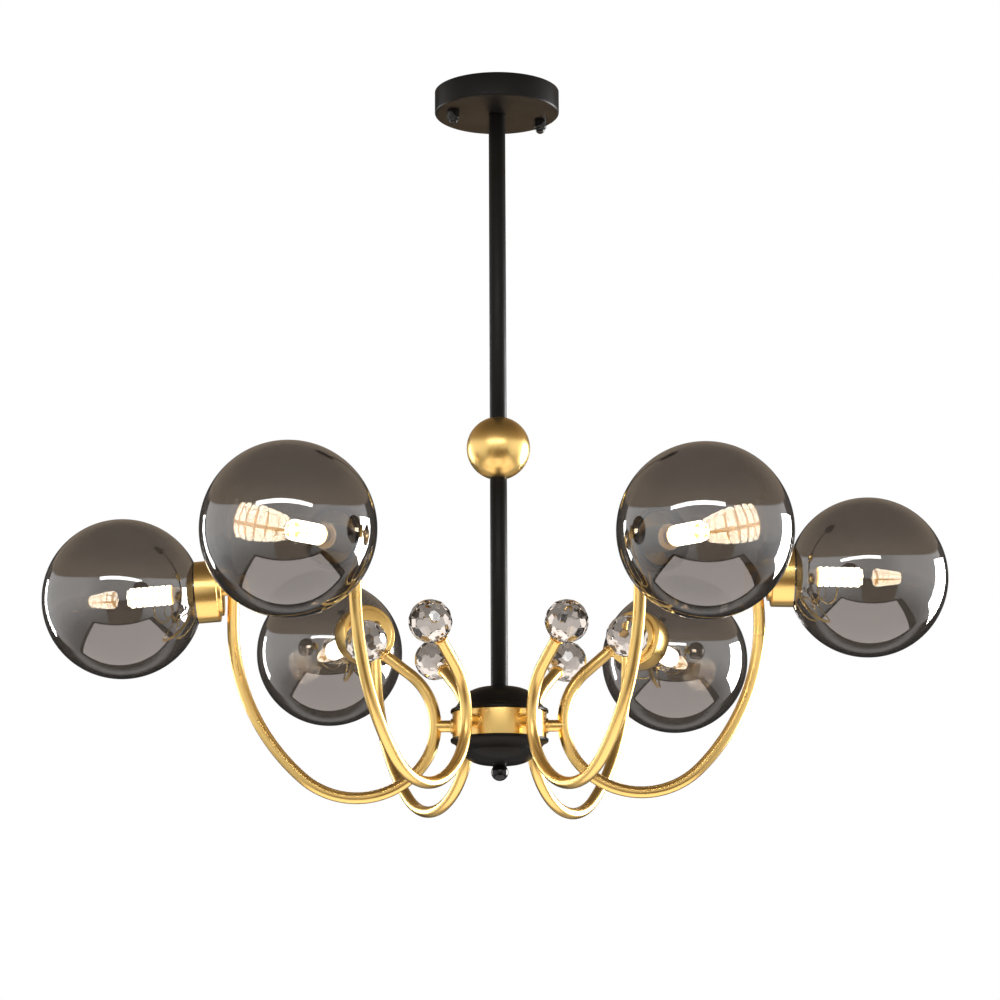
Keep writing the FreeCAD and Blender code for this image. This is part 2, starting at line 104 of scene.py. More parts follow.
def mirrored_room(tree):
    """Colour of the room by direction: dim ceiling, walls that fade down, a dark gap, a dark rear.

    Turn is the angle in radians round +Z from the photographer's side, -Y. Z is the direction's own
    height, from -1 straight down to 1 straight up.
    """
    axes = node(tree, "ShaderNodeSeparateXYZ", Vector=node(tree, "ShaderNodeTexCoord").outputs["Generated"])
    x, y, z = (axes.outputs[name] for name in "XYZ")
    turn = calculate(tree, "ARCTAN2", x, calculate(tree, "MULTIPLY", y, -1.0))
    side = ramp(tree, calculate(tree, "ABSOLUTE", turn), 0.25, 0.95, 0.70, 1.12)
    walls = blend(tree, ramp(tree, z, -0.75, -0.05), (0.28, 0.28, 0.28),
                  node(tree, "ShaderNodeCombineColor", _0=side, _1=side, _2=side).outputs[0])
    gap = calculate(tree, "MULTIPLY", ramp(tree, turn, -0.32, -0.26), ramp(tree, turn, 0.72, 0.66))
    gap = calculate(tree, "MULTIPLY", gap, ramp(tree, z, -0.16, -0.22))
    walls = blend(tree, gap, walls, (0.17, 0.12, 0.075))
    glow = calculate(tree, "MULTIPLY", ramp(tree, z, -0.80, -0.62), ramp(tree, z, -0.42, -0.60))
    rear = blend(tree, glow, (0.03, 0.03, 0.03), (0.42, 0.42, 0.42))
    room = blend(tree, ramp(tree, calculate(tree, "ABSOLUTE", turn), 2.2, 2.3), walls, rear)
    ceiling = blend(tree, ramp(tree, z, 0.40, 0.95), (0.34, 0.26, 0.185), (0.12, 0.093, 0.07))
    return blend(tree, ramp(tree, z, 0.345, 0.385), room, ceiling)


def studio_world():
    """White to the camera, the room to reflections, even light to matt surfaces.

    Glass shows white straight ahead of the photograph's view point. A ray that it bends well aside meets
    a bright field, or a dark one low down, which draws the globes' rims and the crystals' facets.
    """
    world = bpy.data.worlds.new("studio")
    bpy.context.scene.world = world
    world.use_nodes = True
    tree = world.node_tree
    tree.nodes.clear()
    rays = node(tree, "ShaderNodeLightPath").outputs
    axes = node(tree, "ShaderNodeSeparateXYZ", Vector=node(tree, "ShaderNodeTexCoord").outputs["Generated"])
    y, z = axes.outputs["Y"], axes.outputs["Z"]
    room = node(tree, "ShaderNodeBackground", Color=mirrored_room(tree), Strength=1.0)
    even = node(tree, "ShaderNodeBackground", Color=(1, 1, 1, 1), Strength=0.6)
    bent = calculate(tree, "MULTIPLY", ramp(tree, y, 0.90, 0.72), rays["Is Transmission Ray"])
    aside = blend(tree, ramp(tree, z, -0.45, -0.30), (0.15, 0.13, 0.11), (2.4, 2.4, 2.4))
    field = blend(tree, bent, (1, 1, 1), aside)
    plain = node(tree, "ShaderNodeBackground", Color=field, Strength=1.0)
    lit = node(tree, "ShaderNodeMixShader", _0=rays["Is Glossy Ray"], _1=even.outputs[0], _2=room.outputs[0])
    through = calculate(tree, "MAXIMUM", rays["Is Camera Ray"], rays["Is Transmission Ray"])
    whole = node(tree, "ShaderNodeMixShader", _0=through, _1=lit.outputs[0], _2=plain.outputs[0])
    node(tree, "ShaderNodeOutputWorld", Surface=whole.outputs[0])


def window(name, place, aim, width, height, power, colour=(1, 1, 1)):
    """Tall or wide soft light that metal and glass mirror."""
    data = bpy.data.lights.new(name, "AREA")
    data.shape, data.size, data.size_y = "RECTANGLE", width, height
    data.energy, data.color = power, colour
    lamp = bpy.data.objects.new(name, data)
    bpy.context.scene.collection.objects.link(lamp)
    lamp.location = place
    lamp.rotation_mode = "QUATERNION"
    lamp.rotation_quaternion = (Vector(aim) - Vector(place)).to_track_quat("-Z", "Y")
    lamp.visible_camera = False
    lamp.visible_transmission = False
    return lamp


def board(name, x, y, level):
    """Level stage piece over these ranges of x and y, with its own material."""
    corners = [(x[0], y[0], level), (x[1], y[0], level), (x[1], y[1], level), (x[0], y[1], level)]
    mesh = bpy.data.meshes.new(name)
    mesh.from_pydata(corners, [], [(0, 1, 2, 3)])
    made = bpy.data.objects.new(name, mesh)
    bpy.context.scene.collection.objects.link(made)
    material = bpy.data.materials.new(name)
    material.use_nodes = True
    mesh.materials.append(material)
    return made, material.node_tree


def pale_floor():
    """Pale board far below, lifted to near white for the camera alone, and clear from underneath."""
    floor, tree = board("pale_floor", (-40, 40), (-40, 40), -2.6)
    paint = tree.nodes["Principled BSDF"]
    mottle = node(tree, "ShaderNodeTexNoise", Scale=3.0, Detail=4.0)
    tree.links.new(blend(tree, mottle.outputs["Fac"], (0.80, 0.80, 0.80), (0.84, 0.84, 0.84)),
                   paint.inputs["Base Color"])
    paint.inputs["Roughness"].default_value = 0.7
    paint.inputs["Emission Color"].default_value = (1, 1, 1, 1)
    seen = node(tree, "ShaderNodeLightPath").outputs["Is Camera Ray"]
    tree.links.new(calculate(tree, "MULTIPLY", seen, 0.40), paint.inputs["Emission Strength"])
    below = node(tree, "ShaderNodeNewGeometry").outputs["Backfacing"]
    clear = node(tree, "ShaderNodeBsdfTransparent")
    sides = node(tree, "ShaderNodeMixShader", _0=below, _1=paint.outputs[0], _2=clear.outputs[0])
    tree.links.new(sides.outputs[0], tree.nodes["Material Output"].inputs["Surface"])
    floor.visible_glossy = False


def mirrored_board(name, x, y, level, tone):
    """Board of even brightness that is there for reflections alone."""
    made, tree = board(name, x, y, level)
    paint = tree.nodes["Principled BSDF"]
    paint.inputs["Base Color"].default_value = (0, 0, 0, 1)
    paint.inputs["Specular IOR Level"].default_value = 0
    paint.inputs["Emission Color"].default_value = (*tone, 1)
    paint.inputs["Emission Strength"].default_value = 1.0
    for rays in ("camera", "diffuse", "transmission", "shadow", "volume_scatter"):
        setattr(made, "visible_" + rays, False)


place_camera()
studio_world()
pale_floor()
mirrored_board("mat", (-2.1, 2.25), (-1.95, 1.1), -2.59, (1.55, 1.42, 1.36))
mirrored_board("mat_border", (-2.35, 2.9), (-2.15, 1.35), -2.61, (0.02, 0.02, 0.02))
window("window_right", (1.95, 1.0, -0.55), (0, 0, -0.5), 1.1, 1.3, 85)
window("window_left", (-2.02, 1.47, -0.45), (0, 0, -0.5), 0.3, 1.2, 14)
window("window_front", (-0.15, -1.45, 0.03), (0, 0, -0.45), 1.7, 0.13, 6)
warm = window("warm_uplight", (0, 0.5, -0.9), (0, 0, 0), 0.2, 0.2, 1.6, (1.0, 0.75, 0.45))
warm.visible_glossy = False
warm.data.spread = math.radians(30)
bpy.context.scene.view_settings.view_transform = "Standard"


# ---- canopy: spun steel cup, painted black ----
# A 120 mm cup closes against the ceiling and hides the strap that is screwed there. Two blind nuts
# on the strap's screws hold it up. The cup has a fine satin paint, the nuts a gloss black one.

def rounded(corners, radii, steps=6):
    """Outline with each corner replaced by the arc of its radius that touches both its sides."""
    corners = np.array(corners, float)
    radii = np.broadcast_to(radii, len(corners))
    line = []
    for before, corner, after, radius in zip(np.roll(corners, 1, 0), corners, np.roll(corners, -1, 0), radii):
        if radius == 0:
            line.append(corner[None])
            continue
        a, b = before - corner, after - corner
        a, b = a / np.linalg.norm(a), b / np.linalg.norm(b)
        half = math.acos(np.clip(a @ b, -1, 1)) / 2
        middle = (a + b) / np.linalg.norm(a + b)
        centre = corner + middle * radius / math.sin(half)
        start = corner + a * radius / math.tan(half) - centre
        end = corner + b * radius / math.tan(half) - centre
        t = np.linspace(0, 1, steps)[:, None]
        swing = math.pi - 2 * half
        arc = (np.sin((1 - t) * swing) * start + np.sin(t * swing) * end) / math.sin(swing)
        line.append(centre + arc)
    return np.concatenate(line)


def arc_through(a, b, c, steps=16):
    """Points on the circle through three points, from the first to the last."""
    a, b, c = (np.array(p, float) for p in (a, b, c))
    centre = np.linalg.solve(2 * np.array([b - a, c - a]), [b @ b - a @ a, c @ c - a @ a])
    angles = np.unwrap([math.atan2(*(p - centre)[::-1]) for p in (a, b, c)])
    turn = np.linspace(angles[0], angles[2], steps)
    return centre + np.linalg.norm(a - centre) * np.c_[np.cos(turn), np.sin(turn)]


def skin(rings, looped=False):
    """Faces between closed rings of points, and a fan where a ring has shrunk to a point."""
    count, around = rings.shape[:2]
    index = np.arange(count * around).reshape(count, around)
    if looped:
        index = np.concatenate([index, index[:1]])
    low, high = index[:-1], index[1:]
    quads = np.stack([low, np.roll(low, -1, 1), np.roll(high, -1, 1), high], -1).reshape(-1, 4)
    points = rings.reshape(-1, 3)
    names = np.arange(len(points))
    for ring in (0, count - 1):
        if not looped and np.ptp(rings[ring], axis=0).max() < 1e-6:
            names[index[ring]] = index[ring, 0]
    used, faces = np.unique(names[quads], return_inverse=True)
    faces = faces.reshape(-1, 4)
    return points[used], [tuple(dict.fromkeys(face)) for face in faces.tolist()]


def lathe(outline, looped=False, around=96):
    """Turn (radius, height) pairs about +Z. Looped outlines close on themselves."""
    radius, height = np.array(outline, float).T
    angle = np.linspace(0, 2 * math.pi, around, endpoint=False)
    rings = np.stack([radius[:, None] * np.cos(angle), radius[:, None] * np.sin(angle),
                      np.broadcast_to(height[:, None], (len(radius), around))], -1)
    return skin(rings, looped)


def moved(part, turn=np.eye(3), shift=(0, 0, 0)):
    """Part turned by a 3 x 3 matrix and then shifted."""
    points, faces = part
    return points @ np.asarray(turn).T + np.array(shift, float), faces


sharp_edge = math.radians(38)


def piece(name, parts, material, body, slot, *nodes):
    """One mesh object from parts in millimetres, smooth but for sharp edges, on its body."""
    points, faces, first = [], [], 0
    for part_points, part_faces in parts:
        points.append(part_points * 0.001)
        faces += [tuple(i + first for i in face) for face in part_faces]
        first += len(part_points)
    mesh = bpy.data.meshes.new(name)
    mesh.from_pydata(np.concatenate(points), [], faces)
    mesh.validate()
    made = bpy.data.objects.new(name, mesh)
    bpy.context.scene.collection.objects.link(made)
    outwards(mesh)
    mesh.shade_smooth()
    mesh.set_sharp_from_angle(angle=sharp_edge)
    mesh.materials.append(material)
    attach(made, body)
    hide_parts(*nodes)
    return made


def outwards(mesh):
    """Turn every closed part's faces outwards."""
    work = bmesh.new()
    work.from_mesh(mesh)
    bmesh.ops.recalc_face_normals(work, faces=work.faces)
    work.to_mesh(mesh)
    work.free()


def surface_group():
    """Fine grain and slow mottle that satin paint, satin gold and ceramic share."""
    group = bpy.data.node_groups.new("surface_grain", "ShaderNodeTree")
    for name, default in (("Grain Size", 900.0), ("Mottle Size", 18.0), ("Low", 0.3), ("High", 0.4)):
        taken = group.interface.new_socket(name, in_out="INPUT", socket_type="NodeSocketFloat")
        taken.default_value = default
    for name in ("Roughness", "Mottle", "Height"):
        group.interface.new_socket(name, in_out="OUTPUT", socket_type="NodeSocketFloat")
    entry, leave = node(group, "NodeGroupInput"), group.nodes.new("NodeGroupOutput")
    place = node(group, "ShaderNodeTexCoord").outputs["Object"]
    grain = node(group, "ShaderNodeTexNoise", Vector=place, Scale=entry.outputs["Grain Size"], Detail=3.0)
    mottle = node(group, "ShaderNodeTexNoise", Vector=place, Scale=entry.outputs["Mottle Size"], Detail=2.0)
    rough = node(group, "ShaderNodeMapRange", Value=mottle.outputs["Fac"], From_Min=0.3, From_Max=0.7,
                 To_Min=entry.outputs["Low"], To_Max=entry.outputs["High"])
    group.links.new(rough.outputs[0], leave.inputs["Roughness"])
    group.links.new(mottle.outputs["Fac"], leave.inputs["Mottle"])
    group.links.new(grain.outputs["Fac"], leave.inputs["Height"])
    return group


grain_group = surface_group()


def finish(name, colour, deep, low, high, grain=900.0, mottle=18.0, bump=0.02, **sockets):
    """Material whose colour, roughness and bump vary a little over the surface."""
    material = bpy.data.materials.new(name)
    material.use_nodes = True
    tree = material.node_tree
    surface = tree.nodes["Principled BSDF"]
    grained = tree.nodes.new("ShaderNodeGroup")
    grained.node_tree = grain_group
    for socket, value in (("Grain Size", grain), ("Mottle Size", mottle), ("Low", low), ("High", high)):
        grained.inputs[socket].default_value = value
    ripple = node(tree, "ShaderNodeBump", Height=grained.outputs["Height"], Strength=bump, Distance=0.0005)
    tree.links.new(blend(tree, grained.outputs["Mottle"], deep, colour), surface.inputs["Base Color"])
    tree.links.new(grained.outputs["Roughness"], surface.inputs["Roughness"])
    tree.links.new(ripple.outputs[0], surface.inputs["Normal"])
    for socket, value in sockets.items():
        surface.inputs[socket.replace("_", " ")].default_value = value
    return material


black_paint = finish("black_satin_paint", (0.011, 0.0095, 0.008), (0.007, 0.006, 0.005), 0.32, 0.42,
                     grain=1400.0, mottle=30.0, bump=0.03, Specular_IOR_Level=0.12)
black_gloss = finish("black_gloss_paint", (0.008, 0.007, 0.006), (0.005, 0.0045, 0.004), 0.06, 0.10,
                     grain=1400.0, mottle=60.0, bump=0.01, Specular_IOR_Level=0.35)
canopy_radius, canopy_height, canopy_sheet, canopy_edge = 60, 23, 1.2, 2.5
pipe_hole = 5.25             # radius of every hole for the 10 mm threaded tube
canopy_bore, canopy_floor = canopy_radius - canopy_sheet, canopy_sheet - canopy_height
cup = rounded([(pipe_hole, -canopy_height), (canopy_radius, -canopy_height), (canopy_radius, 0),
               (canopy_bore, 0), (canopy_bore, canopy_floor), (pipe_hole, canopy_floor)],
              [0, canopy_edge, 0.3, 0.3, canopy_edge - canopy_sheet, 0])
piece("canopy", [lathe(cup, looped=True, around=160)], black_paint, "fixture", "black_paint", "canopy_cup")

nut_radius, nut_barrel, nut_edge, nut_tip_radius, nut_tip_sink = 6, 9, 1.5, 4.5, 0.5
nut_spacing, nut_turn = 89, math.radians(20)
barrel = rounded([(0, 0), (nut_radius, 0), (nut_radius, -nut_barrel), (0, -nut_barrel)], [0, 0, nut_edge, 0])
tip_turn = np.linspace(math.radians(-6), math.radians(-90), 16)
nut_tip = np.c_[nut_tip_radius * np.cos(tip_turn),
                nut_tip_radius * np.sin(tip_turn) - nut_barrel - nut_tip_sink]
nut_outline = np.concatenate([barrel[:-1], nut_tip])
nut_outline[-1, 0] = 0
for side, name in ((-1, "cap_nut_left"), (1, "cap_nut_right")):
    spot = (side * nut_spacing / 2 * math.cos(nut_turn), side * nut_spacing / 2 * math.sin(nut_turn),
            -canopy_height)
    piece(name + "_black", [moved(lathe(nut_outline, around=48), shift=spot)], black_gloss, name,
          "black_paint", name)


# ---- ceiling strap, screws, threaded tubes and nuts: zinc-plated steel; terminal block: white plastic ----
# Hidden in the canopy and the hub. They are as the frame has them and only get their finish.

def dress(name, material):
    """Give a finish to a node that stays as the frame has it."""
    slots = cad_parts[name].data.materials
    slots.clear()
    slots.append(material)


zinc = finish("zinc_plate", (0.62, 0.63, 0.65), (0.52, 0.53, 0.54), 0.28, 0.42, grain=700.0, mottle=60.0,
              Metallic=1.0)
white_plastic = finish("white_moulded_plastic", (0.82, 0.81, 0.78), (0.78, 0.77, 0.73), 0.42, 0.5)
for name in ("crossbar", "crossbar_screws", "canopy_pipe", "canopy_lock_nut", "stem_coupler",
             "hub_tie_pipe", "hub_nuts", "stud_nuts", "holder_nuts"):
    dress(name, zinc)
dress("terminal_block", white_plastic)


# ---- stem: two black tubes with a gold ball between them ----
# 16 mm tube, painted like the canopy. The turned brass ball has a flat at each pole for the tubes' ends.

satin_gold = finish("satin_gold_plate", (0.94, 0.65, 0.24), (0.88, 0.58, 0.18), 0.25, 0.33, grain=2200.0,
                    mottle=24.0, bump=0.003, Metallic=1.0)
stem_radius, stem_wall, stem_upper, stem_lower, ball_radius = 8, 1.2, 301, 199, 30
ball_flat = math.sqrt(ball_radius**2 - stem_radius**2)
ball_level = -canopy_height - stem_upper - ball_flat
hub_top = ball_level - ball_flat - stem_lower
for name, low, high in (("stem_upper", ball_level + ball_flat, -canopy_height),
                        ("stem_lower", hub_top, ball_level - ball_flat)):
    wall = rounded([(stem_radius, low), (stem_radius, high), (stem_radius - stem_wall, high),
                    (stem_radius - stem_wall, low)], 0.25, steps=3)
    piece(name + "_tube", [lathe(wall, looped=True, around=64)], black_paint, "fixture", "black_paint", name)

edge = math.asin(ball_flat / ball_radius)
turn = np.linspace(-edge, edge, 72)
ball = np.c_[ball_radius * np.cos(turn), ball_radius * np.sin(turn)]
ball = np.concatenate([ball, [(pipe_hole, ball_flat), (pipe_hole, -ball_flat)]])
piece("stem_ball_gold", [moved(lathe(ball, looped=True, around=128), shift=(0, 0, ball_level))], satin_gold,
      "fixture", "satin_gold", "stem_ball")


# ---- hub: gold band between two spun black caps, and a ball nut below ----
# The caps flare to a brim just outside the band. The nut on the tie tube draws the stack together.

band_radius, band_height, band_wall = 43.75, 25.2, 3
brim, bead, cap_height, cap_sheet, brim_round = 45.5, 3, 23.6, 1.2, 1.5
cap_neck, cap_shoulder, cap_top_radius, flare_sag = (37.5, 11.5), (27.75, 19.5), 11, 1.2


def cap_outline(inset):
    """Brim with a round edge, hollow flare, shoulder and flat top, moved in by inset."""
    rim, top, level = brim - inset, bead - inset, cap_height - inset
    neck, shoulder = np.array(cap_neck) - inset, np.array(cap_shoulder) - inset
    round_start, round_end = np.array([rim, top - brim_round]), np.array([rim - brim_round, top])
    centre = np.array([round_end[0], round_start[1]])
    slope = neck - round_end
    hollow = -abs(np.array([-slope[1], slope[0]]) / np.linalg.norm(slope) * flare_sag)
    return np.concatenate([[(rim, 0)],
                           arc_through(round_start, centre + brim_round * math.sqrt(0.5), round_end, 6),
                           arc_through(round_end, (round_end + neck) / 2 + hollow, neck, 10)[1:],
                           arc_through(neck, shoulder, (cap_top_radius, level), 24)[1:],
                           [(pipe_hole, level)]])


cap = np.concatenate([cap_outline(0), cap_outline(cap_sheet)[::-1]])
band_top = hub_top - cap_height
stud_level = band_top - band_height / 2
band_bottom = band_top - band_height
hub_bottom = band_bottom - cap_height
flip = np.diag([1.0, -1.0, -1.0])
piece("hub_cap_top", [moved(lathe(cap, looped=True, around=128), shift=(0, 0, band_top))], black_paint,
      "fixture", "black_paint", "hub_top_cap")
piece("hub_cap_bottom", [moved(lathe(cap, looped=True, around=128), flip, (0, 0, band_bottom))], black_paint,
      "fixture", "black_paint", "hub_bottom_bowl")
ring = rounded([(band_radius, band_bottom), (band_radius, band_top), (band_radius - band_wall, band_top),
                (band_radius - band_wall, band_bottom)], [0.9, 0.9, 0.5, 0.5])
plate_radius, plate_top = 41.5, band_bottom + 2.5
floor_plate = [(plate_radius, band_bottom), (plate_radius, plate_top), (pipe_hole, plate_top),
               (pipe_hole, band_bottom)]
piece("hub_band_gold", [lathe(ring, looped=True, around=128), lathe(floor_plate, looped=True, around=48)],
      satin_gold, "fixture", "satin_gold", "hub_band")

finial_radius, finial_neck_radius, finial_neck = 8, 6.4, 2.2
sink = math.sqrt(finial_radius**2 - finial_neck_radius**2)
turn = np.linspace(math.asin(sink / finial_radius), -math.pi / 2, 40)
knob = np.c_[finial_radius * np.cos(turn), finial_radius * np.sin(turn) - finial_neck - sink]
knob[-1, 0] = 0
knob = np.concatenate([[(0, 0), (finial_neck_radius, 0)], knob])
piece("bottom_finial_black", [moved(lathe(knob, around=64), shift=(0, 0, hub_bottom))], black_gloss,
      "bottom_finial", "black_paint", "bottom_finial")


# ---- branches: 11 mm brass tube, bent in one plane ----
# From the crystal's end the tube runs in and down, round its stud on the hub, under, and up to the
# holder, where it ends in a dome. Each branch is bent up a little differently, as the real ones are.

tube_radius, tube_bore, tube_reach = 5.5, 4.5, 59.5
branch_lift = (3.5, -2.5, -0.8, 0.2, 1.6, 0.9)    # degrees each is bent up, from the right-hand one round
branches, branch_step = range(len(branch_lift)), 60
tail_slope, tail_length = 37.3, 27.5
bends = ((61.5, 93.6), (76.5, 90.4), (195, 270 - tail_slope - 93.6 - 90.4))    # radius, degrees turned
holder_rise, upright_top = 129.2, 3


def heading(degrees):
    """Unit step (x, z) at this angle above +X."""
    return np.array([math.cos(math.radians(degrees)), math.sin(math.radians(degrees))])


def tube_line(step=2.5):
    """Points (x, z) and headings down the middle of the tube: straight, three arcs, straight."""
    course = 180 + tail_slope
    tangent = bends[0][0] * (heading(course - 90) + [1, 0])
    points = [tangent - tail_length * heading(course)]
    courses = [course]
    here = tangent
    for radius, turn in bends:
        centre = here + radius * heading(course + 90)
        for part in np.linspace(0, turn, max(3, int(radius * math.radians(turn) / step)))[:-1]:
            points.append(centre + radius * heading(course - 90 + part))
            courses.append(course + part)
        here = centre + radius * heading(course - 90 + turn)
        course += turn
    top = np.array([here[0], holder_rise + upright_top])
    for share in np.linspace(0, 1, 12):
        points.append(here + share * (top - here))
        courses.append(90)
    return np.array(points), np.array(courses)


def tube_rings(radii, points, courses, around=40):
    """Circles of these radii square to the line at each of its points."""
    angle = np.linspace(0, 2 * math.pi, around, endpoint=False)
    across = np.radians(courses) + math.pi / 2
    side = np.stack([np.cos(across), np.zeros_like(across), np.sin(across)], -1)
    middle = np.stack([points[:, 0], np.zeros(len(points)), points[:, 1]], -1)
    radii = np.broadcast_to(radii, len(points))
    return (middle[:, None] + radii[:, None, None] * (np.cos(angle)[None, :, None] * side[:, None]
            + np.sin(angle)[None, :, None] * np.array([0, 1, 0])))


line, courses = tube_line()
upright_x = line[-1, 0]


def bent_tube():
    """Outside of the tube, its open tail with a short bore, and the dome on the other end."""
    deep, lip = 10.0, 0.3
    depths = np.array([deep, deep, lip, 0.0, 0.0, lip])
    radii = np.array([0.0, tube_bore, tube_bore, tube_bore + lip, tube_radius - lip, tube_radius])
    down_bore = line[0] + depths[:, None] * heading(courses[0])
    bore = tube_rings(radii, down_bore, np.full(len(depths), courses[0]))
    outside = tube_rings(tube_radius, line[1:], courses[1:])
    rise = np.linspace(0, math.pi / 2, 12)[1:]
    dome_line = line[-1] + np.c_[np.zeros(len(rise)), tube_radius * np.sin(rise)]
    dome_radii = tube_radius * np.cos(rise)
    dome_radii[-1] = 0
    dome = tube_rings(dome_radii, dome_line, np.full(len(rise), 90.0))
    return skin(np.concatenate([bore, outside, dome]))


def about_z(degrees):
    """Matrix that turns about +Z."""
    c, s = math.cos(math.radians(degrees)), math.sin(math.radians(degrees))
    return np.array([[c, -s, 0], [s, c, 0], [0, 0, 1]])


def about_y(degrees):
    """Matrix that turns about +Y."""
    c, s = math.cos(math.radians(degrees)), math.sin(math.radians(degrees))
    return np.array([[c, 0, s], [0, 1, 0], [-s, 0, c]])


def on_hub(part, k):
    """From a frame level with the studs, +X outward, to branch k."""
    return moved(part, about_z(branch_step * k), (0, 0, stud_level))


def on_branch(part, k):
    """From the branch's frame, whose origin is the tube's innermost point, to branch k."""
    return on_hub(moved(part, about_y(-branch_lift[k]), (tube_reach, 0, 0)), k)


tube = bent_tube()
for k in branches:
    piece(f"branch_{k + 1}_gold", [on_branch(tube, k)], satin_gold, "fixture", "satin_gold",
          f"branch_tube_{k + 1}")


# ---- hub studs: turned brass, six ----
# Each has a flange against the band and a boss that is shaped to the tube and brazed to it.

stud_thread_radius, stud_flange_radius, stud_boss_radius = 4, 7, 5.5
stud_inner, flange_inner, flange_outer = 38, 42, 45.35    # distances from the stem's axis
stud_outline = rounded([(0, stud_inner), (stud_thread_radius, stud_inner), (stud_thread_radius, flange_inner),
                        (stud_flange_radius, flange_inner), (stud_flange_radius, flange_outer),
                        (stud_boss_radius, flange_outer), (stud_boss_radius, tube_reach), (0, tube_reach)],
                       [0, 0, 0, 0, 0.5, 0.4, 0, 0])
stud = moved(lathe(stud_outline, around=48), about_y(90))
piece("hub_studs_gold", [on_hub(stud, k) for k in branches], satin_gold, "fixture", "satin_gold", "hub_studs")


# ---- collars and crystals ----
# A turned brass collar plugs each tube's inner end, and the cut-glass ball is glued on its pin.

def on_tail(part, k):
    """From the tube's open end, +Z out of the tube, to branch k."""
    return on_branch(moved(part, about_y(90 - tail_slope), (line[0, 0], 0, line[0, 1])), k)


# (radius, height) from the plug up: plug, flange, groove, seat, pin
collar_outline = rounded([(0, -8), (4.35, -8), (4.35, 0), (6.5, 0), (6.5, 2), (4.5, 2), (4.5, 3), (5.5, 3),
                          (5.5, 4.5), (2.5, 4.5), (2.5, 13.5), (0, 13.5)],
                         [0, 0.3, 0, 0.4, 0.4, 0.2, 0.2, 0.3, 0.3, 0.1, 0.4, 0], steps=4)
collar = lathe(collar_outline, around=48)
piece("crystal_collars_gold", [on_tail(collar, k) for k in branches], satin_gold, "fixture", "satin_gold",
      "crystal_collars")


def clear_glass(name, colour, ior):
    """Smooth glass whose colour tints what comes through its surface."""
    material = bpy.data.materials.new(name)
    material.use_nodes = True
    surface = material.node_tree.nodes["Principled BSDF"]
    for socket, value in (("Base Color", (*colour, 1)), ("Transmission Weight", 1.0), ("IOR", ior),
                          ("Roughness", 0.0)):
        surface.inputs[socket].default_value = value
    return material


# The crystals are clear glass. Their grey-brown tint is painted refraction: it stands in for the darker room
# the real ones show through them.
crystal_glass_painted_dark = clear_glass("cut_crystal_painted_dark", (0.45, 0.40, 0.36), 1.6)
for k in branches:
    dress(f"crystal_{k + 1}", crystal_glass_painted_dark)


# ---- globe holders: brass drum with a smaller step at its back, on a threaded nipple ----
# The drum takes the globe's neck. Its lip and back edge are rounded. The lampholder inside is ceramic.

holder_droop = 4.8
step_start, step_radius, step_thickness = tube_radius + 5, 23.5, 3.5
drum_start, drum_radius, drum_length, drum_wall, drum_back = step_start + step_thickness, 29, 20.5, 1.5, 1.6
rim_start, drum_floor, drum_bore = drum_start + drum_length, drum_start + drum_back, drum_radius - drum_wall
nipple_radius, nipple_bore, nipple_end = 5, 3.5, drum_start + 11


def on_holder(part, k):
    """From the holder's frame, +Z outward from the upright's axis, to branch k."""
    return on_branch(moved(part, about_y(90 + holder_droop), (upright_x, 0, holder_rise)), k)


drum_outline = rounded([(pipe_hole, step_start), (step_radius, step_start), (step_radius, drum_start),
                        (drum_radius, drum_start), (drum_radius, rim_start), (drum_bore, rim_start),
                        (drum_bore, drum_floor), (pipe_hole, drum_floor)],
                       [0, 0.8, 0.4, 1.0, 0.5, 0.5, 0.8, 0])
drum = lathe(drum_outline, looped=True, around=128)
nipple = lathe([(nipple_radius, 0), (nipple_radius, nipple_end), (nipple_bore, nipple_end),
                (nipple_bore, 0)], looped=True, around=48)
ceramic = finish("lampholder_ceramic", (0.86, 0.85, 0.82), (0.80, 0.79, 0.75), 0.35, 0.5, grain=300.0,
                 mottle=90.0)
piece("holder_nipples_gold", [on_holder(nipple, k) for k in branches], satin_gold, "fixture", "satin_gold",
      "holder_nipples")
for k in branches:
    piece(f"holder_{k + 1}_gold", [on_holder(drum, k)], satin_gold, "fixture", "satin_gold",
          f"holder_drum_{k + 1}")
    dress(f"lampholder_{k + 1}", ceramic)


# ---- bulbs: lit capsule lamps with rows of chips ----
# White plug with two pins, and a column with seven rings of eight chips and five more on its end.
# The chips glow warm white and the column between them amber.

holder_nut_height, lampholder_length = 4, 29
bulb_start = drum_floor + holder_nut_height + lampholder_length
bulb_radius, plug_radius, plug_length, bulb_length = 9, 7, 9, 51
pin_radius, pin_spread, pin_length = 1.1, 4.75, 9
column_radius, chip_size, chip_bevel, chip_rows, chip_columns = 7.4, (4.3, 4.0), 0.5, 7, 8
chip_sink, chip_clear, end_spread = 0.4, 0.1, 4.9


def glow(name, colour, strength):
    """Material that gives off light of this colour."""
    material = bpy.data.materials.new(name)
    material.use_nodes = True
    lamp = material.node_tree.nodes["Principled BSDF"]
    lamp.inputs["Base Color"].default_value = (0.9, 0.7, 0.4, 1)
    lamp.inputs["Emission Color"].default_value = (*colour, 1)
    lamp.inputs["Emission Strength"].default_value = strength
    return material


